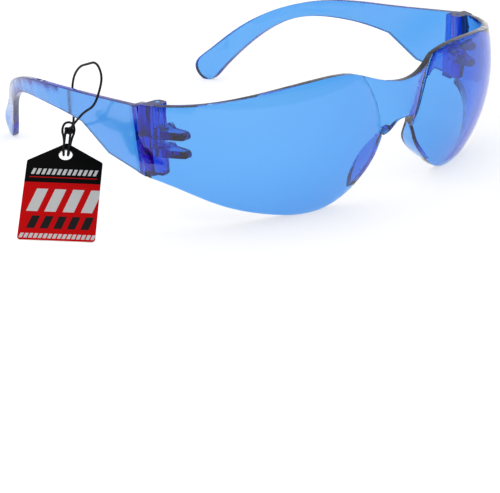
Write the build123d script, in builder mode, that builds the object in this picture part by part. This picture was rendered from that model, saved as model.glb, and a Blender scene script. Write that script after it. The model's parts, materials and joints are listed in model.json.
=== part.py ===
from build123d import *
from math import asin, cos, pi, radians, sin, tan
import os

# Frameless wraparound safety glasses: a one-piece shield, two folding temples, two hinge pins and
# a hang tag.  Millimetres.  +X is the wearer's left, -Y is the front, +Z is up, and the glasses
# stand on Z = 0 on the lower edges of the shield and on both temple tips.  While it is drawn,
# Y = 0 is the foremost plane of the eye lobes; the finished pieces are moved so that the origin
# is under the middle.

os.makedirs("parts", exist_ok=True)

# ---------------------------------------------------------------- driving dimensions
# shield: two spherical eye lobes and an oblique cone that carries the bridge between them
lobe_radius = 50.6
lobe_x = 19.2
lobe_setback = 2.5                  # fronts of the lobes, behind the front plane
lobe_z = 28.6
lens_thickness = 2.0
bridge_low = (17.0, 1.4, 3.6)       # height, front face and radius of the bridge cone, low down
bridge_high = (45.0, 0.0, 37.6)     # the same, above the brow edge
groove_radius = 0.22                # fine grooves where the bridge meets a lobe, on both faces
shield_depth = 40.3                 # from the front plane to the seam at the temples

# front outline of the shield, half of it, (x, z)
brow_points = [(0, 35.8), (9, 37.4), (17, 40.4), (28, 41.4), (42, 40.1), (56, 37.6), (68, 36.0)]
cheek_points = [(66.3, 14.5), (54.3, 6.7), (40, 1.5), (29, 0.0), (19, 3.0), (12.4, 8.6)]
nose_points = [(8.6, 13.4), (6.2, 18.6), (3.6, 23.0), (0, 24.3)]
outline_margin = 8.0                # the outline runs past the widest point of the lobes

# nose flanges, moulded in one piece with the shield
flange_thickness = 1.7
flange_points = [(5.5, 22.5), (9.0, 18.0), (12.0, 12.5), (11.4, 8.0), (8.6, 5.2)]   # (y, z), rear edge
flange_root = 4.0                   # where a flange starts, inside the wall of the shield

# hinge: a vertical pin near the inner end of each side of the shield
pin_inset = 7.6                     # from the widest point of a lobe in to the pin
pin_y = 38.2
pin_radius = 0.6
pin_length = 8.4
pin_centre_z = 25.1
barrel_radius = 2.1                 # shield's corner round the pin
knuckle_radius = 1.8                # temple's knuckle round the pin
knuckle_height = 2.5
knuckle_web = 1.5                   # web from the pin's line outwards, temple's knuckle to its post
running_clearance = 0.05            # radial, pin in the temple's knuckle
hinge_gap = 0.3                     # between the shield and a temple
block_front = 2.6                   # shield's hinge block in front of the pin
block_corner = 1.6
block_bottom = 15.4
block_top = 36.4
block_bevel = 1.2
rib_height = 2.3
rib_spacing = 5.4
rib_length = 10.4                   # from the pin to the rib's front tip
rib_inset = 1.2                     # from the block's inner face inwards to the ribs' inner faces
rib_overlap = 1.0                   # how far the ribs run into the block
rib_web = 1.5                       # small web in the corner over each rib
side_reach = 12.0                   # blanks run this far outwards, past the shield's wall

# temples
temple_thickness = 2.0
blade_offset = 4.0                  # from the pin out to the middle of the blade, at lean_height
lean_angle = 4.0                    # top edge outwards
lean_height = 26.0
plan_angle = 3.0                    # towards the head, at the hinge
plan_straight = 42.0
sweep_in = (24.0, 115.0)            # turn and radius of the bend towards the head
plan_run = 8.0
sweep_out = (16.0, 64.0)            # turn and radius of the flare at the tip
hinge_post_depth = 3.6
post_inset = 0.5                    # post's inner face, outwards from the barrel's
notch_depth = 1.5                   # gaps in a temple's post beside its knuckle
temple_blank = 50.0                 # height of a temple before its side outline is cut
temple_top = [(0, 35.8), (30, 33.9), (61, 31.7), (78, 27.4), (92.2, 19.5), (103.4, 10.2)]
temple_tip = [(107.8, 5.0), (106.2, 1.4)]
temple_foot = [
    (102.2, 0.0), (98.2, 3.4), (91.2, 11.3), (83, 18.6), (70.6, 24.8), (54, 26.5), (40, 25.8), (31, 24.6),
]
temple_gusset = [(24, 20.6), (18.4, 17.4), (0, 14.4)]

# hang tag
card_width = 26.0
card_length = 41.0
card_gable = 8.5                    # from the apex down to the shoulders
card_thickness = 0.5
card_corner = 3.0
card_hole_radius = 2.0
card_hole_drop = 7.0                # hole centre below the apex
card_apex = (-73.0, 68.5, 22.0)     # Y from the front plane of the shield
card_heading = 57.0                 # degrees from -X towards -Y, the way that the card slopes down
card_roll = 10.0                    # degrees in its own plane, so that one lower corner is the lowest
card_clearance = 0.1                # lowest corner above the surface that the glasses stand on
cord_diameter = 0.7
bend_share = 0.45                   # of the shorter run beside a bend, taken up by the bend
knot_radius = 1.6
knot_rise = 2.6                     # knot centre beyond the card's apex
hitch_half_width = 1.15
# the cord's loop round the right-hand temple, from the knot and back to it
cord_points = [
    (-71.6, 69.8, 23.6), (-71.9, 66.0, 26.8), (-71.3, 61.8, 30.8), (-70.8, 57.3, 33.2),
    (-69.5, 55.8, 37.4), (-67.4, 56.4, 41.8), (-65.9, 60.9, 45.0), (-64.6, 67.4, 42.8),
    (-62.2, 74.6, 40.4), (-60.6, 80.4, 36.2), (-59.8, 83.2, 31.2), (-60.0, 83.0, 26.2),
    (-62.6, 79.6, 22.4), (-67.0, 75.0, 21.4), (-70.9, 71.0, 22.8),
]

# directions of the outlines at their two ends
brow_headings = ((1, 0), (1, -0.12))
cheek_headings = ((-1, -0.55), (-1, 0))
temple_headings = ((1, -0.05), (-1, -0.15))
cut_margin = 1.0                    # how far a cut runs past the faces that it opens

# ---------------------------------------------------------------- worked-out sizes
lobe_y = lobe_radius + lobe_setback
pin_x = lobe_x + lobe_radius - pin_inset
temple_x = pin_x + blade_offset
seam_y = shield_depth
temple_front = seam_y + hinge_gap
inner_face_x = pin_x - barrel_radius
post_inner_x = inner_face_x + post_inset
lean_slope = tan(radians(lean_angle))
outline_side = lobe_x + lobe_radius + outline_margin
pin_bevel = pin_radius / 4
pin_bottom = pin_centre_z - pin_length / 2
notch_bottom = pin_centre_z - rib_spacing / 2 - rib_height / 2 - hinge_gap
notch_top = pin_centre_z + rib_spacing / 2 + rib_height / 2 + hinge_gap


def shield_solid(inset):
    """The space inside the shield's outer surface, drawn in by inset."""
    with BuildPart() as shape:
        for height, front, radius in (bridge_low, bridge_high):
            with BuildSketch(Plane.XY.offset(height)):
                with Locations((0, front + radius)):
                    Circle(radius - inset)
        loft(ruled=True)
        with Locations((lobe_x, lobe_y, lobe_z), (-lobe_x, lobe_y, lobe_z)):
            Sphere(lobe_radius - inset)
    return shape.part


def crease_grooves(inset):
    """Two wires of round section along the creases between the bridge and the lobes."""
    with BuildPart() as grooves:
        for crease in shield_solid(inset).edges().filter_by(GeomType.BSPLINE):
            with BuildSketch(Plane(origin=crease @ 0, z_dir=crease % 0)):
                Circle(groove_radius)
            sweep(path=crease)
    return grooves.part


def nose_curve():
    """Half of the nose opening's edge, from the cheek up to the arch."""
    start = cheek_points[3:]
    return Spline(*start, *nose_points, tangents=((-1, 0), (-1, 0)))


def hinge_plan(front, back, inner, outer):
    """Rectangle in plan on one side of the glasses."""
    return Polyline((inner, front), (outer, front), (outer, back), (inner, back), close=True)


def shield_fittings():
    """Ribs and nose flanges behind the wearer's left half of the shield, before they are trimmed."""
    block_face = pin_y - block_front
    rib_root = block_face + rib_overlap
    rib_tip = pin_y - rib_length
    rib_end = rib_tip + rib_height / 2
    with BuildPart() as fittings:
        for step in (-0.5, 0.5):
            middle = pin_centre_z + step * rib_spacing
            low, high = middle - rib_height / 2, middle + rib_height / 2
            with BuildSketch(Plane.YZ.offset(inner_face_x - rib_inset)):
                with BuildLine():
                    Polyline((rib_end, high), (rib_root, high), (rib_root, low), (rib_end, low))
                    ThreePointArc((rib_end, low), (rib_tip, middle), (rib_end, high))
                make_face()
                with BuildLine():
                    Polyline((block_face - rib_web, high), (block_face, high + rib_web),
                             (block_face, middle), close=True)
                make_face()
            extrude(amount=side_reach)
    with BuildPart() as flanges:
        with BuildSketch(Plane.XZ):
            with BuildLine() as edge:
                nose_curve()
            trace(edge.line, line_width=2 * flange_thickness)
        extrude(amount=-shield_depth)
        with BuildSketch(Plane.YZ):
            with BuildLine():
                rear = Spline(*flange_points)
                Polyline(rear @ 1, (flange_root, flange_points[-1][1]),
                         (flange_root, flange_points[0][1]), rear @ 0)
            make_face()
        extrude(amount=outline_side, mode=Mode.INTERSECT)
    with BuildPart() as both:
        add(fittings.part)
        add(flanges.part)
        add(shield_solid(0), mode=Mode.INTERSECT)
    return both.part


def hinge_block():
    """The block at the left end of the shield that holds the pin."""
    front = pin_y - block_front
    with BuildPart() as block:
        with BuildSketch(Plane.XY.offset(block_bottom)):
            with BuildLine():
                Line((pin_x, seam_y), (lobe_x + lobe_radius, seam_y))
                Line((lobe_x + lobe_radius, seam_y), (lobe_x + lobe_radius, front))
                Line((lobe_x + lobe_radius, front), (inner_face_x + block_corner, front))
                RadiusArc((inner_face_x + block_corner, front), (inner_face_x, front + block_corner),
                          block_corner)
                Line((inner_face_x, front + block_corner), (inner_face_x, pin_y))
                RadiusArc((inner_face_x, pin_y), (pin_x, seam_y), barrel_radius)
            make_face()
        extrude(amount=block_top - block_bottom)
        add(shield_solid(0), mode=Mode.INTERSECT)
        chamfer(block.faces().sort_by(Axis.Z)[0].edges().filter_by(GeomType.LINE), block_bevel / 2)
        with BuildSketch(Plane.XY.offset(pin_centre_z - knuckle_height / 2 - hinge_gap)):
            with Locations((pin_x, pin_y)):
                Circle(knuckle_radius + hinge_gap)
            with BuildLine():
                hinge_plan(pin_y, seam_y + cut_margin, inner_face_x - cut_margin, pin_x + knuckle_radius)
            make_face()
            with BuildLine():
                hinge_plan(pin_y - knuckle_radius - hinge_gap, seam_y, inner_face_x - cut_margin, pin_x)
            make_face()
        extrude(amount=knuckle_height + 2 * hinge_gap, mode=Mode.SUBTRACT)
        with BuildSketch(Plane.XY.offset(pin_bottom)):
            with Locations((pin_x, pin_y)):
                Circle(pin_radius)
        extrude(amount=block_top - pin_bottom, mode=Mode.SUBTRACT)
    return block.part


# ---------------------------------------------------------------- shield
with BuildPart() as lens_shield:
    add(shield_solid(0))
    add(shield_solid(lens_thickness), mode=Mode.SUBTRACT)
    add(shield_fittings())
    mirror(shield_fittings(), about=Plane.YZ)
    with BuildSketch(Plane.XZ.offset(outline_margin)):
        with BuildLine():
            brow = Spline(*brow_points, tangents=brow_headings)
            cheek = Spline(*cheek_points[:4], tangents=cheek_headings)
            nose = nose_curve()
            Polyline(brow @ 1, (outline_side, (brow @ 1).Y), (outline_side, (cheek @ 0).Y), cheek @ 0)
            Line(nose @ 1, brow @ 0)
        make_face()
        mirror(about=Plane.YZ)
    extrude(amount=-(outline_margin + shield_depth), mode=Mode.INTERSECT)
    add(crease_grooves(0), mode=Mode.SUBTRACT)
    add(crease_grooves(lens_thickness), mode=Mode.SUBTRACT)
    add(hinge_block())
    mirror(hinge_block(), about=Plane.YZ)

# ---------------------------------------------------------------- temples
with BuildPart() as temple_left:
    with BuildSketch():
        with BuildLine() as plan:
            start = (temple_x - lean_height * lean_slope, temple_front)
            run_1 = PolarLine(start, plan_straight, 90 + plan_angle)
            bend_1 = JernArc(run_1 @ 1, run_1 % 1, sweep_in[1], sweep_in[0])
            run_2 = PolarLine(bend_1 @ 1, plan_run, 90 + plan_angle + sweep_in[0])
            JernArc(run_2 @ 1, run_2 % 1, sweep_out[1], -sweep_out[0])
        trace(plan.line, line_width=temple_thickness)
    extrude(amount=temple_blank, dir=(lean_slope, 0, 1))
    with BuildSketch():
        with BuildLine():
            hinge_plan(temple_front, temple_front + hinge_post_depth, post_inner_x,
                       temple_x + temple_thickness / 2 - lean_height * lean_slope)
        make_face()
    extrude(amount=temple_blank, dir=(lean_slope, 0, 1))
    with BuildSketch(Plane.YZ):
        with BuildLine():
            top = Spline(*[(temple_front + y, z) for y, z in temple_top + temple_tip + temple_foot],
                         tangents=temple_headings)
            Polyline(top @ 1, *[(temple_front + y, z) for y, z in temple_gusset], top @ 0)
        make_face()
    extrude(amount=outline_side, mode=Mode.INTERSECT)
    with BuildSketch(Plane.XY.offset(pin_centre_z - knuckle_height / 2)):
        with Locations((pin_x, pin_y)):
            Circle(knuckle_radius)
        with BuildLine():
            hinge_plan(pin_y, temple_front + notch_depth, pin_x - knuckle_radius, pin_x + knuckle_web)
        make_face()
    extrude(amount=knuckle_height)
    for low, high in (
        (notch_bottom, pin_centre_z - knuckle_height / 2),
        (pin_centre_z + knuckle_height / 2, notch_top),
    ):
        with BuildSketch(Plane.XY.offset(low)):
            with BuildLine():
                hinge_plan(pin_y, temple_front + notch_depth, inner_face_x - cut_margin, pin_x + knuckle_radius)
            make_face()
        extrude(amount=high - low, mode=Mode.SUBTRACT)
    with BuildSketch(Plane.XY.offset(pin_bottom)):
        with Locations((pin_x, pin_y)):
            Circle(pin_radius + running_clearance)
    extrude(amount=pin_length, mode=Mode.SUBTRACT)

with BuildPart() as temple_right:
    mirror(temple_left.part, about=Plane.YZ)

# ---------------------------------------------------------------- hinge pins
with BuildPart() as hinge_pin_left:
    with BuildSketch(Plane.XY.offset(pin_bottom)):
        with Locations((pin_x, pin_y)):
            Circle(pin_radius)
    extrude(amount=pin_length)
    chamfer(hinge_pin_left.edges().filter_by(GeomType.CIRCLE), pin_bevel)

with BuildPart() as hinge_pin_right:
    mirror(hinge_pin_left.part, about=Plane.YZ)

# ---------------------------------------------------------------- hang tag
card_turn = radians(card_heading)
card_lean = radians(card_roll)
card_reach = card_length * cos(card_lean) + card_width / 2 * sin(card_lean)
card_tilt = asin((card_apex[2] - card_clearance) / card_reach)
level = Vector(sin(card_turn), -cos(card_turn), 0)
uphill = Vector(cos(card_turn) * cos(card_tilt), sin(card_turn) * cos(card_tilt), sin(card_tilt))
across = level * cos(card_lean) - uphill * sin(card_lean)
up_card = uphill * cos(card_lean) + level * sin(card_lean)
card_plane = Plane(origin=card_apex, x_dir=across, z_dir=across.cross(up_card))

with BuildPart() as tag_card:
    with BuildSketch(card_plane) as outline:
        with BuildLine():
            Polyline(
                (0, 0), (card_width / 2, -card_gable), (card_width / 2, -card_length),
                (-card_width / 2, -card_length), (-card_width / 2, -card_gable), close=True,
            )
        make_face()
        fillet(outline.vertices(), card_corner)
        with Locations((0, -card_hole_drop)):
            Circle(card_hole_radius, mode=Mode.SUBTRACT)
    extrude(amount=card_thickness)

# the knot stands just beyond the card's edge, and its hitch runs through the hole and back
hitch_length = card_hole_drop + knot_rise - hitch_half_width
hitch_plane = Plane(
    origin=card_plane.from_local_coords((0, knot_rise, card_thickness / 2)),
    x_dir=-up_card, z_dir=across,
)
with BuildPart() as tag_cord_knot:
    with BuildLine(hitch_plane):
        near = Line((0, hitch_half_width), (hitch_length, hitch_half_width))
        turn = TangentArc(near @ 1, (hitch_length, -hitch_half_width), tangent=near % 1)
        back = Line(turn @ 1, (0, -hitch_half_width))
    with BuildSketch(Plane(origin=near @ 0, z_dir=near % 0)):
        Circle(cord_diameter / 2)
    sweep()
    with Locations(hitch_plane.origin):
        Sphere(knot_radius)

bend_radii = []
for before, corner, after in zip(cord_points, cord_points[1:], cord_points[2:]):
    run_in = Vector(corner) - Vector(before)
    run_out = Vector(after) - Vector(corner)
    half_turn = radians(run_in.get_angle(run_out) / 2)
    bend_radii.append(bend_share * min(run_in.length, run_out.length) / tan(half_turn))
print("cord bend radii, mm:", [round(radius, 1) for radius in bend_radii])

with BuildPart() as tag_cord:
    with BuildLine() as route:
        FilletPolyline(*cord_points, radius=bend_radii)
    cord_path = route.wire()
    with BuildSketch(Plane(origin=cord_path @ 0, z_dir=cord_path % 0)):
        Circle(cord_diameter / 2)
    sweep()
cord_volume = pi * cord_diameter**2 / 4 * cord_path.length
print("cord length, mm:", round(cord_path.length, 1))
print("tube volume over section times length:", round(tag_cord.part.volume / cord_volume, 3))

# ---------------------------------------------------------------- origin under the middle, and export
low_y = min(piece.part.bounding_box().min.Y for piece in (lens_shield, temple_left))
high_y = max(piece.part.bounding_box().max.Y for piece in (lens_shield, temple_left))
to_origin = Location((0, -(low_y + high_y) / 2, 0))
print("front plane at Y =", round(-(low_y + high_y) / 2, 3))
print("pins at Y =", round(pin_y - (low_y + high_y) / 2, 3))

pieces = {
    "lens_shield": lens_shield,
    "temple_left": temple_left,
    "temple_right": temple_right,
    "hinge_pin_left": hinge_pin_left,
    "hinge_pin_right": hinge_pin_right,
    "tag_card": tag_card,
    "tag_cord_knot": tag_cord_knot,
    "tag_cord": tag_cord,
}
for name, piece in pieces.items():
    placed = piece.part.moved(to_origin)
    placed.label = name
    export_step(placed, f"parts/{name}.step")
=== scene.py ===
"""Frameless wraparound safety glasses in clear blue polycarbonate, with a printed hang tag on a cord.

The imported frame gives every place.  Lengths in the classes below are millimetres, as a maker
writes them, and become metres where a mesh is built.
"""

import json
import logging
import math
from dataclasses import dataclass, field
from enum import Enum
from typing import Iterable, Sequence

import bmesh
import bpy
from mathutils import Matrix, Vector


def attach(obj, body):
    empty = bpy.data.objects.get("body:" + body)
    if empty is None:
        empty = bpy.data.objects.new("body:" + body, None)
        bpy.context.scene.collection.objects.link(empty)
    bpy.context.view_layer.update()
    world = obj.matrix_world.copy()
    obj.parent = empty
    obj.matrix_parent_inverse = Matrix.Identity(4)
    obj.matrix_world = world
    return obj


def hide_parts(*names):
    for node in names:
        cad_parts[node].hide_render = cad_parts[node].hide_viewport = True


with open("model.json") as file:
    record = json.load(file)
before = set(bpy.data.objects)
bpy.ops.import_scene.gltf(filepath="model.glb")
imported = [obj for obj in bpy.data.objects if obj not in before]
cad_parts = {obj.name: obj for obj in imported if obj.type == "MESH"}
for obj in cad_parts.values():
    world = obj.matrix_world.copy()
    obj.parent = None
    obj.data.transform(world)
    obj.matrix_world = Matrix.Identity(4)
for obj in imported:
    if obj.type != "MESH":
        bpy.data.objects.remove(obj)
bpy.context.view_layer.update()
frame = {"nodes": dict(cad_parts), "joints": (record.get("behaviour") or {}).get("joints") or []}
log = logging.getLogger("safety_glasses")

MM = 0.001
PIN_DEPTH = 38.2  # hinge pins behind the lens's front plane, in millimetres
FRONT_Y = frame["joints"][0]["pos_m"][1] / MM - PIN_DEPTH
Colour = tuple[float, float, float]


class Side(Enum):
    """The wearer's two sides."""

    LEFT = "left"
    RIGHT = "right"


# ---------------------------------------------------------------- node helpers
class Shader:
    """A material's node tree, with short calls for the nodes that the finishes use."""

    # the mix node has sockets for numbers, vectors and colours; these are the colours'
    MIX_COLOURS = (6, 7)
    MIX_RESULT = 2

    def __init__(self, name: str) -> None:
        """Starts an empty material.

        Args:
            name: The material's name.
        """
        self.material = bpy.data.materials.new(name)
        self.material.use_nodes = True
        self.nodes = self.material.node_tree.nodes
        self.links = self.material.node_tree.links
        self.nodes.clear()
        self.output = self.nodes.new("ShaderNodeOutputMaterial")
        self.surface = self.nodes.new("ShaderNodeBsdfPrincipled")
        self.links.new(self.surface.outputs["BSDF"], self.output.inputs["Surface"])

    def set(self, **sockets: object) -> None:
        """Sets constants on the Principled shader, with spaces in a socket's name as underscores."""
        for name, value in sockets.items():
            self.surface.inputs[name.replace("_", " ")].default_value = value

    def place(self) -> bpy.types.NodeSocket:
        """Returns the object coordinates, in metres."""
        return self.nodes.new("ShaderNodeTexCoord").outputs["Object"]

    def noise(self, scale: float, detail: float = 2.0,
              stretch: Sequence[float] = (1, 1, 1)) -> bpy.types.NodeSocket:
        """Adds a noise over the object coordinates.

        Args:
            scale: Waves per metre.
            detail: Octaves.
            stretch: How much faster the noise runs along each axis.

        Returns:
            The noise's factor, from 0 to 1.
        """
        mapping = self.nodes.new("ShaderNodeMapping")
        mapping.inputs["Scale"].default_value = stretch
        self.links.new(self.place(), mapping.inputs["Vector"])
        texture = self.nodes.new("ShaderNodeTexNoise")
        texture.inputs["Scale"].default_value = scale
        texture.inputs["Detail"].default_value = detail
        self.links.new(mapping.outputs["Vector"], texture.inputs["Vector"])
        return texture.outputs["Fac"]

    def math(self, operation: str, a: object, b: object = 0.0, clamp: bool = False) -> bpy.types.NodeSocket:
        """Adds one sum or comparison.

        Args:
            operation: Blender's name for it, such as "MULTIPLY".
            a: A number or a socket.
            b: A number or a socket.
            clamp: Whether the result is kept from 0 to 1.

        Returns:
            The result.
        """
        node = self.nodes.new("ShaderNodeMath")
        node.operation = operation
        node.use_clamp = clamp
        for socket, value in zip(node.inputs, (a, b)):
            if isinstance(value, bpy.types.NodeSocket):
                self.links.new(value, socket)
            else:
                socket.default_value = value
        return node.outputs["Value"]

    def spread(self, value: bpy.types.NodeSocket, low: float, high: float) -> bpy.types.NodeSocket:
        """Returns a 0 to 1 socket spread from low to high."""
        return self.math("ADD", self.math("MULTIPLY", value, high - low), low)

    def mix(self, share: bpy.types.NodeSocket, a: object, b: object) -> bpy.types.NodeSocket:
        """Mixes two colours.

        Args:
            share: How much of b shows, from 0 to 1.
            a: A colour or a colour socket.
            b: A colour or a colour socket.

        Returns:
            The mixed colour.
        """
        node = self.nodes.new("ShaderNodeMix")
        node.data_type = "RGBA"
        self.links.new(share, node.inputs["Factor"])
        for index, value in zip(self.MIX_COLOURS, (a, b)):
            socket = node.inputs[index]
            if isinstance(value, bpy.types.NodeSocket):
                self.links.new(value, socket)
            else:
                socket.default_value = (*value, 1.0)
        return node.outputs[self.MIX_RESULT]

    def bump(self, height: bpy.types.NodeSocket, depth: float) -> None:
        """Raises the surface by a height from 0 to 1 times a depth in metres."""
        node = self.nodes.new("ShaderNodeBump")
        node.inputs["Strength"].default_value = 1.0
        node.inputs["Distance"].default_value = depth
        self.links.new(height, node.inputs["Height"])
        self.links.new(node.outputs["Normal"], self.surface.inputs["Normal"])

    def link(self, value: bpy.types.NodeSocket, socket: str) -> None:
        """Feeds a socket of the Principled shader."""
        self.links.new(value, self.surface.inputs[socket])


# ---------------------------------------------------------------- finishes
@dataclass(frozen=True)
class Polycarbonate:
    """Clear moulded polycarbonate, tinted through its thickness.

    Attributes:
        name: The material's name.
        passed: Share of red, green and blue light that a wall of that depth lets through.
        wall: The depth in millimetres that `passed` is for.
        ior: Refractive index.
        polish: Lowest and highest roughness of the moulded skin.
        flow: Depth of the mould's flow marks, in millimetres.
        skin_scale: Waves per metre of the skin's changes in roughness.
        flow_scale: Waves per metre of the flow marks.
        flow_stretch: How much faster the flow marks run along each axis.
        headroom: The absorption's density over the strongest colour's, so that no colour is black.
    """

    name: str = "polished_polycarbonate"
    passed: Colour = (0.112, 0.412, 0.870)
    wall: float = 2.0
    ior: float = 1.585
    polish: tuple[float, float] = (0.0, 0.03)
    flow: float = 0.004
    skin_scale: float = 160.0
    flow_scale: float = 35.0
    flow_stretch: tuple[float, float, float] = (1, 1, 2.5)
    headroom: float = 1.02

    def material(self) -> bpy.types.Material:
        """Returns the finish, glass with the tint as a volume, made once for all its pieces."""
        if self.name in bpy.data.materials:
            return bpy.data.materials[self.name]
        shader = Shader(self.name)
        shader.set(Base_Color=(1, 1, 1, 1), Transmission_Weight=1.0, IOR=self.ior)
        shader.link(shader.spread(shader.noise(self.skin_scale, 3), *self.polish), "Roughness")
        shader.bump(shader.noise(self.flow_scale, 1, self.flow_stretch), self.flow * MM)
        taken = [-math.log(share) / (self.wall * MM) for share in self.passed]
        density = max(taken) * self.headroom
        volume = shader.nodes.new("ShaderNodeVolumeAbsorption")
        volume.inputs["Density"].default_value = density
        volume.inputs["Color"].default_value = (*[1 - each / density for each in taken], 1)
        shader.links.new(volume.outputs["Volume"], shader.output.inputs["Volume"])
        return shader.material


@dataclass(frozen=True)
class PinSteel:
    """Drawn stainless pin wire, with fine marks along it.

    Attributes:
        name: The material's name.
        colour: The steel's colour.
        polish: Lowest and highest roughness.
        draw_scale: Waves per metre of the drawing marks.
        draw_stretch: How much faster the marks run along each axis.
        draw_depth: Depth of the marks, in millimetres.
    """

    name: str = "pin_steel"
    colour: Colour = (0.50, 0.51, 0.53)
    polish: tuple[float, float] = (0.22, 0.38)
    draw_scale: float = 900.0
    draw_stretch: tuple[float, float, float] = (1, 1, 0.12)
    draw_depth: float = 0.004

    def material(self) -> bpy.types.Material:
        """Returns the finish."""
        shader = Shader(self.name)
        shader.set(Base_Color=(*self.colour, 1), Metallic=1.0)
        drawn = shader.noise(self.draw_scale, 2, self.draw_stretch)
        shader.link(shader.spread(drawn, *self.polish), "Roughness")
        shader.bump(drawn, self.draw_depth * MM)
        return shader.material


@dataclass(frozen=True)
class CordBraid:
    """Waxed black cord, braided from fine strands.

    Attributes:
        name: The material's name.
        colour: The cord's colour between the strands.
        worn: The colour on the strands' crowns.
        wear: Share of the worn colour on the crowns.
        strand: Width of two strands, in millimetres.
        waver: How uneven the strands lie.
        relief: Height of the strands, in millimetres.
        fuzz_scale: Waves per metre of the changes in roughness.
        polish: Lowest and highest roughness.
        shine: Specular level.
    """

    name: str = "black_cord"
    colour: Colour = (0.010, 0.010, 0.011)
    worn: Colour = (0.020, 0.020, 0.021)
    wear: float = 0.6
    strand: float = 0.45
    waver: float = 1.5
    relief: float = 0.06
    fuzz_scale: float = 1500.0
    polish: tuple[float, float] = (0.55, 0.75)
    shine: float = 0.2

    def material(self) -> bpy.types.Material:
        """Returns the finish."""
        shader = Shader(self.name)
        weave = shader.nodes.new("ShaderNodeTexWave")
        weave.bands_direction = "DIAGONAL"
        weave.inputs["Scale"].default_value = 0.5 / (self.strand * MM)
        weave.inputs["Distortion"].default_value = self.waver
        shader.links.new(shader.place(), weave.inputs["Vector"])
        strands = weave.outputs["Fac"]
        crowns = shader.math("MULTIPLY", strands, self.wear)
        shader.link(shader.mix(crowns, self.colour, self.worn), "Base Color")
        shader.link(shader.spread(shader.noise(self.fuzz_scale), *self.polish), "Roughness")
        shader.set(Specular_IOR_Level=self.shine)
        shader.bump(strands, self.relief * MM)
        return shader.material


@dataclass(frozen=True)
class StripeRow:
    """One printed row of slanted stripes, in millimetres in the card's own axes.

    Attributes:
        low: Its lowest y.
        high: Its highest y.
        half: Half its width.
        pitch: From one stripe to the next.
        share: Share of the pitch that is printed.
        ink: The stripes' colour.
    """

    low: float
    high: float
    half: float
    pitch: float
    share: float
    ink: Colour


@dataclass(frozen=True)
class PrintedCard:
    """Varnished card, printed on its face in black over red with plain stripes.

    Lengths are millimetres in the card's own axes: x across, y up from the apex, z out of the face.

    Attributes:
        name: The material's name.
        board: The bare card's colour, on its back and edges.
        black: Ink above the border.
        red: Ink below the border.
        white: Ink of the pale stripes.
        grey: Ink of the dark stripes.
        border: Height of the line between the black and the red.
        slant: How far a stripe leans to the right for each millimetre upwards.
        face_z: The print covers what lies above this height; the edges and the back are bare.
        fibre_scale: Waves per metre of the card's fibres.
        fibre_depth: Height of the fibres.
        polish: Lowest and highest roughness.
        shine: Specular level.
    """

    name: str = "printed_card"
    board: Colour = (0.80, 0.79, 0.77)
    black: Colour = (0.002, 0.002, 0.002)
    red: Colour = (0.88, 0.002, 0.004)
    white: Colour = (0.92, 0.92, 0.92)
    grey: Colour = (0.022, 0.020, 0.022)
    border: float = -17.8
    slant: float = 0.28
    face_z: float = 0.18
    fibre_scale: float = 700.0
    fibre_depth: float = 0.02
    polish: tuple[float, float] = (0.50, 0.66)
    shine: float = 0.06

    def rows(self) -> list[StripeRow]:
        """Returns the rows of stripes, from the top down."""
        return [
            StripeRow(-14.8, -12.6, 9.4, 1.49, 0.62, self.white),
            StripeRow(-16.0, -15.7, 9.8, 60.0, 1.0, self.red),
            StripeRow(-28.6, -20.2, 9.4, 5.19, 0.62, self.white),
            StripeRow(-34.8, -30.2, 8.8, 3.83, 0.60, self.grey),
            StripeRow(-38.3, -36.6, 10.6, 1.35, 0.70, self.white),
        ]

    def material(self) -> bpy.types.Material:
        """Returns the finish."""
        shader = Shader(self.name)
        split = shader.nodes.new("ShaderNodeSeparateXYZ")
        shader.links.new(shader.place(), split.inputs["Vector"])
        x, y, z = (shader.math("DIVIDE", split.outputs[axis], MM) for axis in "XYZ")
        colour = shader.mix(shader.math("LESS_THAN", y, self.border), self.black, self.red)
        for row in self.rows():
            lean = shader.math("MULTIPLY", shader.math("SUBTRACT", y, row.low), self.slant)
            leant = shader.math("SUBTRACT", x, lean)
            turn = shader.math("FRACT", shader.math("DIVIDE", shader.math("ADD", leant, row.half), row.pitch))
            mask = shader.math("LESS_THAN", turn, row.share)
            within = shader.math("LESS_THAN", shader.math("ABSOLUTE", leant), row.half)
            mask = shader.math("MULTIPLY", mask, within)
            mask = shader.math("MULTIPLY", mask, shader.math("GREATER_THAN", y, row.low))
            mask = shader.math("MULTIPLY", mask, shader.math("LESS_THAN", y, row.high))
            colour = shader.mix(mask, colour, row.ink)
        colour = shader.mix(shader.math("GREATER_THAN", z, self.face_z), self.board, colour)
        shader.link(colour, "Base Color")
        fibre = shader.noise(self.fibre_scale, 4)
        shader.link(shader.spread(fibre, *self.polish), "Roughness")
        shader.set(Specular_IOR_Level=self.shine)
        shader.bump(fibre, self.fibre_depth * MM)
        return shader.material


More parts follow.
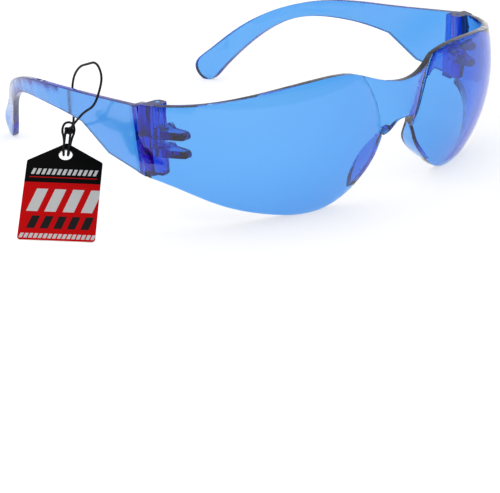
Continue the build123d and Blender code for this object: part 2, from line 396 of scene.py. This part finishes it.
# ---------------------------------------------------------------- studio
@dataclass
class Studio:
    """Pale floor, soft lights and the camera.

    Attributes:
        target: Point that the camera goes round, in millimetres in the row frame.
        azimuth: Degrees round from the front, negative to the wearer's right.
        elevation: Degrees above the floor.
        roll: Degrees that the camera leans.
        distance: From the target, in millimetres.
        slide: Camera's own offset to its right and upwards, in millimetres.
        dip: How far below the object the camera is aimed, in degrees.
        lens: Focal length for the sensor's width, in millimetres.
        sensor: The sensor's width, in millimetres.
        near_clip: Nearest distance that the camera sees, in metres.
        floor_half: Half the floor's side, in millimetres.
        floor_glow: The floor's own light, which keeps the shadows faint.
        paper: The floor's two colours, mixed by its grain.
        paper_grain: Waves per metre of the grain.
        paper_roughness: The floor's roughness.
        bright_way: Level way from the glasses to the side of the room that is bright.
        wall: Brightness of the room.
        dim_side: Brightness of its dim stretch.
        bounces: How often light may go on through the clear pieces.
    """

    target: tuple[float, float, float] = (0.0, 70.0 + FRONT_Y, 20.0)
    azimuth: float = -40.38
    elevation: float = 16.95
    roll: float = -2.98
    distance: float = 595.2
    slide: tuple[float, float] = (-0.34, -6.80)
    dip: float = 4.20
    lens: float = 134.0
    sensor: float = 36.0
    near_clip: float = 0.01
    floor_half: float = 6000.0
    floor_glow: float = 0.56
    paper: tuple[Colour, Colour] = ((0.955, 0.957, 0.965), (0.965, 0.967, 0.975))
    paper_grain: float = 60.0
    paper_roughness: float = 0.9
    bright_way: tuple[float, float, float] = (0.648, 0.762, 0.0)
    wall: float = 0.66
    dim_side: float = 0.02
    bounces: int = 40

    def build(self) -> None:
        """Makes the camera, the floor, the world and the lights."""
        self.camera()
        self.floor()
        self.world()
        for name, place, size, power in self.lamps():
            self.lamp(name, place, size, power)
        scene = bpy.context.scene
        scene.view_settings.view_transform = "Standard"
        scene.view_settings.look = "None"
        scene.cycles.max_bounces = self.bounces
        scene.cycles.transmission_bounces = self.bounces
        scene.cycles.glossy_bounces = self.bounces
        log.info("studio: camera %.1f mm, floor, world and %d lamps", self.lens, len(self.lamps()))

    def camera(self) -> None:
        """Places the camera on its own right, up and back directions."""
        turn, rise, lean, dip = map(math.radians, (self.azimuth, self.elevation, self.roll, self.dip))
        back = Vector((math.sin(turn) * math.cos(rise), -math.cos(turn) * math.cos(rise), math.sin(rise)))
        level = Vector((math.cos(turn), math.sin(turn), 0))
        upright = back.cross(level)
        right = level * math.cos(lean) + upright * math.sin(lean)
        up = upright * math.cos(lean) - level * math.sin(lean)
        place = Vector(self.target) + back * self.distance + right * self.slide[0] + up * self.slide[1]
        aimed_back = back * math.cos(dip) + up * math.sin(dip)
        aimed_up = up * math.cos(dip) - back * math.sin(dip)
        data = bpy.data.cameras.new("camera")
        data.lens = self.lens
        data.sensor_width = self.sensor
        data.clip_start = self.near_clip
        camera = bpy.data.objects.new("camera", data)
        axes = Matrix((right, aimed_up, aimed_back)).transposed().to_4x4()
        camera.matrix_world = Matrix.Translation(place * MM) @ axes
        bpy.context.scene.collection.objects.link(camera)
        bpy.context.scene.camera = camera

    def floor(self) -> None:
        """Lays the pale floor."""
        half = self.floor_half * MM
        mesh = bpy.data.meshes.new("floor")
        corners = [(-half, -half, 0), (half, -half, 0), (half, half, 0), (-half, half, 0)]
        mesh.from_pydata(corners, [], [(0, 1, 2, 3)])
        floor = bpy.data.objects.new("floor", mesh)
        bpy.context.scene.collection.objects.link(floor)
        shader = Shader("floor_paper")
        grain = shader.noise(self.paper_grain, 4)
        shader.link(shader.mix(grain, *self.paper), "Base Color")
        shader.set(Roughness=self.paper_roughness, Specular_IOR_Level=0.0)
        shader.set(Emission_Color=(1, 1, 1, 1), Emission_Strength=self.floor_glow)
        mesh.materials.append(shader.material)

    def world(self) -> None:
        """Makes the room: white all round, but for a dim stretch on the near side above the horizon."""
        world = bpy.data.worlds.new("studio")
        world.use_nodes = True
        nodes, links = world.node_tree.nodes, world.node_tree.links
        place = nodes.new("ShaderNodeTexCoord").outputs["Generated"]
        dim = None
        for way, low, high in self.dim_edges():
            facing = nodes.new("ShaderNodeVectorMath")
            facing.operation = "DOT_PRODUCT"
            links.new(place, facing.inputs[0])
            facing.inputs[1].default_value = way
            ramp = nodes.new("ShaderNodeMapRange")
            ramp.interpolation_type = "SMOOTHSTEP"
            ramp.inputs["From Min"].default_value = low
            ramp.inputs["From Max"].default_value = high
            links.new(facing.outputs["Value"], ramp.inputs["Value"])
            dim = self.product(world, dim, ramp.outputs["Result"])
        unseen = nodes.new("ShaderNodeMath")
        unseen.operation = "SUBTRACT"
        unseen.inputs[0].default_value = 1.0
        links.new(nodes.new("ShaderNodeLightPath").outputs["Is Camera Ray"], unseen.inputs[1])
        dim = self.product(world, dim, unseen.outputs["Value"])
        strength = nodes.new("ShaderNodeMapRange")
        strength.inputs["To Min"].default_value = self.wall
        strength.inputs["To Max"].default_value = self.dim_side
        links.new(dim, strength.inputs["Value"])
        background = nodes["Background"]
        background.inputs["Color"].default_value = (1.0, 1.0, 1.0, 1.0)
        links.new(strength.outputs["Result"], background.inputs["Strength"])
        bpy.context.scene.world = world

    def dim_edges(self) -> list[tuple[tuple[float, float, float], float, float]]:
        """Returns the ways along which the dim stretch sets in, and where it starts and is full."""
        near_way = tuple(-each for each in self.bright_way)
        return [(near_way, -0.15, 0.35), ((0, 0, 1), 0.0, 0.30), ((0, 0, -1), -0.80, -0.50)]

    def product(self, world: bpy.types.World, a: bpy.types.NodeSocket | None,
                b: bpy.types.NodeSocket) -> bpy.types.NodeSocket:
        """Multiplies two of the world's values.

        Args:
            world: The world that gets the node.
            a: The product so far, or None at the start.
            b: The next value.

        Returns:
            Their product, or b where there is no a yet.
        """
        if a is None:
            return b
        node = world.node_tree.nodes.new("ShaderNodeMath")
        node.operation = "MULTIPLY"
        world.node_tree.links.new(a, node.inputs[0])
        world.node_tree.links.new(b, node.inputs[1])
        return node.outputs["Value"]

    def lamps(self) -> list[tuple[str, tuple[float, float, float], float, float]]:
        """Returns each lamp's name, place and size in millimetres, and power in watts."""
        return [
            ("softbox_over", (-150, 150, 900), 700, 0.16),
            ("softbox_front", (-700, -700, 500), 500, 0.40),
        ]

    def lamp(self, name: str, place: Sequence[float], size: float, power: float) -> None:
        """Hangs one square softbox, turned to the glasses.

        Args:
            name: The lamp's name.
            place: Its middle, in millimetres.
            size: Its side, in millimetres.
            power: Its power in watts.
        """
        data = bpy.data.lights.new(name, "AREA")
        data.shape = "SQUARE"
        data.size = size * MM
        data.energy = power
        lamp = bpy.data.objects.new(name, data)
        where = Vector(place) * MM
        turn = (where - Vector(self.target) * MM).to_track_quat("Z", "Y")
        lamp.matrix_world = Matrix.Translation(where) @ turn.to_matrix().to_4x4()
        bpy.context.scene.collection.objects.link(lamp)


# ---------------------------------------------------------------- glasses
@dataclass
class MouldedPart:
    """A polycarbonate CAD piece whose sharp edges are softened as a mould leaves them.

    Attributes:
        node: The CAD node.
        finish: The plastic's finish.
        edge_round: Width of the softened edges.
        edge_angle: Only edges sharper than this many degrees are softened.
        edge_steps: Faces across a softened edge.
        weld: Vertices nearer than this are one.
    """

    node: str
    finish: Polycarbonate
    edge_round: float = 0.35
    edge_angle: float = 40.0
    edge_steps: int = 3
    weld: float = 0.002

    def build(self) -> None:
        """Gives the piece its finish and softens its edges."""
        piece = frame["nodes"][self.node]
        piece.data.materials.clear()
        piece.data.materials.append(self.finish.material())
        joined = piece.modifiers.new("joined_faces", "WELD")
        joined.merge_threshold = self.weld * MM
        soft = piece.modifiers.new("soft_edges", "BEVEL")
        soft.width = self.edge_round * MM
        soft.segments = self.edge_steps
        soft.limit_method = "ANGLE"
        soft.angle_limit = math.radians(self.edge_angle)
        soft.harden_normals = True
        log.info("moulded part: %s", self.node)


@dataclass
class HingePin:
    """A steel pin in the shield's hinge block.

    Attributes:
        side: The wearer's side.
        finish: The pin's finish.
    """

    side: Side
    finish: PinSteel

    def build(self) -> None:
        """Gives the pin its finish."""
        piece = frame["nodes"][f"hinge_pin_{self.side.value}"]
        piece.data.materials.clear()
        piece.data.materials.append(self.finish.material())
        log.info("hinge pin: %s", self.side.value)


@dataclass
class Glasses:
    """The shield, both temples and both hinge pins.

    Attributes:
        lens: The shield's finish.
        temple: The temples' finish, a little less polished than the shield's.
        steel: The pins' finish.
    """

    lens: Polycarbonate = Polycarbonate()
    temple: Polycarbonate = Polycarbonate(name="moulded_polycarbonate", polish=(0.11, 0.18), flow=0.006)
    steel: PinSteel = PinSteel()

    def build(self) -> None:
        """Dresses the pieces."""
        MouldedPart("lens_shield", self.lens).build()
        for side in Side:
            MouldedPart(f"temple_{side.value}", self.temple).build()
            HingePin(side, self.steel).build()


def link(piece: bpy.types.Object) -> bpy.types.Object:
    """Puts a new object in the scene and returns it."""
    bpy.context.scene.collection.objects.link(piece)
    return piece


def as_mesh(curve: bpy.types.Object, material: bpy.types.Material) -> bpy.types.Object:
    """Turns a curve object into a mesh piece of the same name and place.

    Args:
        curve: The curve, which is removed.
        material: The piece's finish.

    Returns:
        The mesh piece.
    """
    name, place = curve.name, curve.matrix_world.copy()
    bpy.context.view_layer.update()
    mesh = bpy.data.meshes.new_from_object(curve.evaluated_get(bpy.context.evaluated_depsgraph_get()))
    bpy.data.objects.remove(curve)
    mesh.materials.clear()
    mesh.materials.append(material)
    piece = link(bpy.data.objects.new(name, mesh))
    piece.matrix_world = place
    return piece


@dataclass
class HangTag:
    """The printed card, its hitch and knot, and the cord's loop round the right temple.

    Attributes:
        side: Side of the temple that the tag hangs from.
        apex: The card's upper corner, with Y from the lens's front plane.
        heading: Way that the card slopes down, in degrees from -X towards -Y.
        clearance: The card's lowest corner above the table.
        roll: Degrees that the card is turned in its own plane.
        width: The card's width.
        length: From the apex to the lower edge.
        gable: From the apex down to the shoulders.
        thickness: The card's thickness.
        corner: Radius of its corners.
        corner_steps: Straight steps in a corner.
        edge_round: Rounding of its cut edges.
        hole_radius: Radius of the punched hole.
        hole_drop: From the apex down to the hole's middle.
        hole_steps: Straight steps round the hole.
        knot_rise: From the apex up to the knot's middle.
        knot_size: Size of the knot, as the scale of its path.
        knot_girth: The knot's path across the card's plane, beside its scale.
        knot_depth: The knot's path out of the card's plane, beside its scale.
        knot_steps: Control points round the knot.
        cord_diameter: The cord's diameter.
        cord_length: The loop's length, from the knot and back to it. Not used.
        cord_sides: Rings in a quarter of the cord's section.
        cord_steps: Steps between two control points.
        route: The cord's control points, with Y from the lens's front plane.
    """

    side: Side = Side.RIGHT
    apex: tuple[float, float, float] = (-73.0, 68.5, 22.0)
    heading: float = 57.0
    clearance: float = 0.1
    roll: float = 10.0
    width: float = 26.0
    length: float = 41.0
    gable: float = 8.5
    thickness: float = 0.5
    corner: float = 3.0
    corner_steps: int = 8
    edge_round: float = 0.06
    hole_radius: float = 2.0
    hole_drop: float = 7.0
    hole_steps: int = 40
    knot_rise: float = 2.6
    knot_size: float = 0.42
    knot_girth: float = 0.9
    knot_depth: float = 1.3
    knot_steps: int = 60
    cord_diameter: float = 0.7
    cord_length: float = 80.3
    cord_sides: int = 5
    cord_steps: int = 10
    route: list[tuple[float, float, float]] = field(default_factory=lambda: [
        (-71.6, 69.8, 23.6), (-71.9, 66.0, 26.8), (-71.3, 61.8, 30.8), (-70.8, 57.3, 33.2),
        (-69.5, 55.8, 37.4), (-67.4, 56.4, 41.8), (-65.9, 60.9, 45.0), (-64.6, 67.4, 42.8),
        (-62.2, 74.6, 40.4), (-60.6, 80.4, 36.2), (-59.8, 83.2, 31.2), (-60.0, 83.0, 26.2),
        (-62.6, 79.6, 22.4), (-67.0, 75.0, 21.4), (-70.9, 71.0, 22.8),
    ])

    def build(self) -> None:
        """Makes the tag's pieces and lets them ride on the right temple."""
        black = CordBraid().material()
        card = self.card(PrintedCard().material())
        knot = self.knot(black)
        cord = self.cord(black)
        for piece, node in ((card, "tag_card"), (knot, "tag_cord_knot"), (cord, "tag_cord")):
            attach(piece, f"{self.side.value}_temple")
            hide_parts(node)
            log.info("hang tag: %s", piece.name)

    def placed(self, point: Sequence[float]) -> Vector:
        """Returns a point given from the lens's front plane in the row frame, in millimetres."""
        return Vector((point[0], point[1] + FRONT_Y, point[2]))

    def card_place(self) -> Matrix:
        """Returns the card's own axes: x across, y up to the apex, z out of the middle of its face."""
        turn, lean = math.radians(self.heading), math.radians(self.roll)
        reach = self.length * math.cos(lean) + self.width / 2 * math.sin(lean)
        tilt = math.asin((self.apex[2] - self.clearance) / reach)
        level = Vector((math.sin(turn), -math.cos(turn), 0))
        uphill = Vector((math.cos(turn) * math.cos(tilt), math.sin(turn) * math.cos(tilt), math.sin(tilt)))
        across = level * math.cos(lean) - uphill * math.sin(lean)
        up = uphill * math.cos(lean) + level * math.sin(lean)
        out = across.cross(up)
        middle = (self.placed(self.apex) + out * self.thickness / 2) * MM
        return Matrix.Translation(middle) @ Matrix((across, up, out)).transposed().to_4x4()

    def outline(self) -> list[tuple[float, float]]:
        """Returns the card's outline with rounded corners, in millimetres."""
        half = self.width / 2
        shoulder, foot = -self.gable, -self.length
        corners = [(0, 0), (half, shoulder), (half, foot), (-half, foot), (-half, shoulder)]
        points = []
        for index, corner in enumerate(corners):
            here = Vector(corner)
            to_last = (Vector(corners[index - 1]) - here).normalized()
            to_next = (Vector(corners[(index + 1) % len(corners)]) - here).normalized()
            half_angle = to_last.angle(to_next) / 2
            middle = here + (to_last + to_next).normalized() * self.corner / math.sin(half_angle)
            first = here + to_last * self.corner / math.tan(half_angle) - middle
            last = here + to_next * self.corner / math.tan(half_angle) - middle
            for step in range(self.corner_steps + 1):
                points.append(tuple(middle + first.slerp(last, step / self.corner_steps)))
        return points

    def card(self, material: bpy.types.Material) -> bpy.types.Object:
        """Cuts the card with its hole and softened edges."""
        curve = bpy.data.curves.new("printed_tag_card", "CURVE")
        curve.dimensions = "2D"
        curve.fill_mode = "BOTH"
        curve.extrude = (self.thickness / 2 - self.edge_round) * MM
        curve.bevel_depth = self.edge_round * MM
        curve.bevel_resolution = 2
        curve.offset = -self.edge_round * MM
        circle = []
        for step in range(self.hole_steps):
            turn = 2 * math.pi * step / self.hole_steps
            across, up = self.hole_radius * math.cos(turn), self.hole_radius * math.sin(turn)
            circle.append((across, up - self.hole_drop))
        for ring in (self.outline(), circle):
            spline = curve.splines.new("POLY")
            spline.points.add(len(ring) - 1)
            for point, (x, y) in zip(spline.points, ring):
                point.co = (x * MM, y * MM, 0, 1)
            spline.use_cyclic_u = True
        piece = link(bpy.data.objects.new("printed_tag_card", curve))
        piece.matrix_world = self.card_place()
        return as_mesh(piece, material)

    def tube(self, name: str, points: Iterable[Sequence[float]], closed: bool) -> bpy.types.Object:
        """Draws one cord along control points.

        Args:
            name: The object's name.
            points: Control points in millimetres.
            closed: Whether the cord is a ring.

        Returns:
            A curve object with the cord's thickness.
        """
        curve = bpy.data.curves.new(name, "CURVE")
        curve.dimensions = "3D"
        curve.bevel_depth = self.cord_diameter / 2 * MM
        curve.bevel_resolution = self.cord_sides
        curve.resolution_u = self.cord_steps
        spline = curve.splines.new("NURBS")
        places = [Vector(point) * MM for point in points]
        spline.points.add(len(places) - 1)
        for point, place in zip(spline.points, places):
            point.co = (*place, 1)
        spline.order_u = 3
        if closed:
            spline.use_cyclic_u = True
        else:
            spline.use_endpoint_u = True
        return link(bpy.data.objects.new(name, curve))

    def knot(self, material: bpy.types.Material) -> bpy.types.Object:
        """Ties the overhand knot, with the cow hitch that runs from it through the card's hole."""
        knot_points = []
        for step in range(self.knot_steps):
            angle = 2 * math.pi * step / self.knot_steps
            reach = self.knot_size * self.knot_girth * (2.0 + math.cos(3 * angle))
            knot_points.append((
                reach * math.cos(2 * angle),
                self.knot_rise + reach * math.sin(2 * angle),
                self.knot_size * self.knot_depth * math.sin(3 * angle),
            ))
        hole = self.hole_drop
        # right half of the hitch: down the card's face, through the hole, up its back, round the knot
        half = [
            (0.75, self.knot_rise, 0.5), (0.75, 0.6, 0.95), (0.75, 1.6 - hole, 0.95), (0.70, 0.5 - hole, 0.7),
            (0.62, -hole, 0.0), (0.70, 0.6 - hole, -0.75), (0.9, -2.0, -0.85), (1.25, 0.6, -0.6),
            (1.9, 2.2, 0.3), (1.5, 3.9, 1.3), (0.5, 4.5, 1.6),
        ]
        hitch_points = half + [(-x, y, z) for x, y, z in reversed(half)]
        place = self.card_place()
        parts = []
        for name, points, closed in (("knot", knot_points, True), ("hitch", hitch_points, False)):
            tube = self.tube(name, points, closed)
            tube.matrix_world = place
            parts.append(as_mesh(tube, material))
        mesh = bmesh.new()
        for part in parts:
            mesh.from_mesh(part.data)
        joined = bpy.data.meshes.new("tag_hitch_and_knot")
        mesh.to_mesh(joined)
        mesh.free()
        joined.materials.append(material)
        for part in parts:
            bpy.data.objects.remove(part)
        piece = link(bpy.data.objects.new("tag_hitch_and_knot", joined))
        piece.matrix_world = place
        return piece

    def cord(self, material: bpy.types.Material) -> bpy.types.Object:
        """Lays the cord's loop from the knot, over the temple and back."""
        piece = self.tube("tag_cord_loop", [self.placed(point) for point in self.route], False)
        piece.data.materials.append(material)
        return piece


def main() -> None:
    """Builds the studio, the glasses and the tag."""
    logging.basicConfig(level=logging.INFO, format="%(name)s: %(message)s")
    Studio().build()
    HangTag().build()
    Glasses().build()


if __name__ == "__main__":
    main()
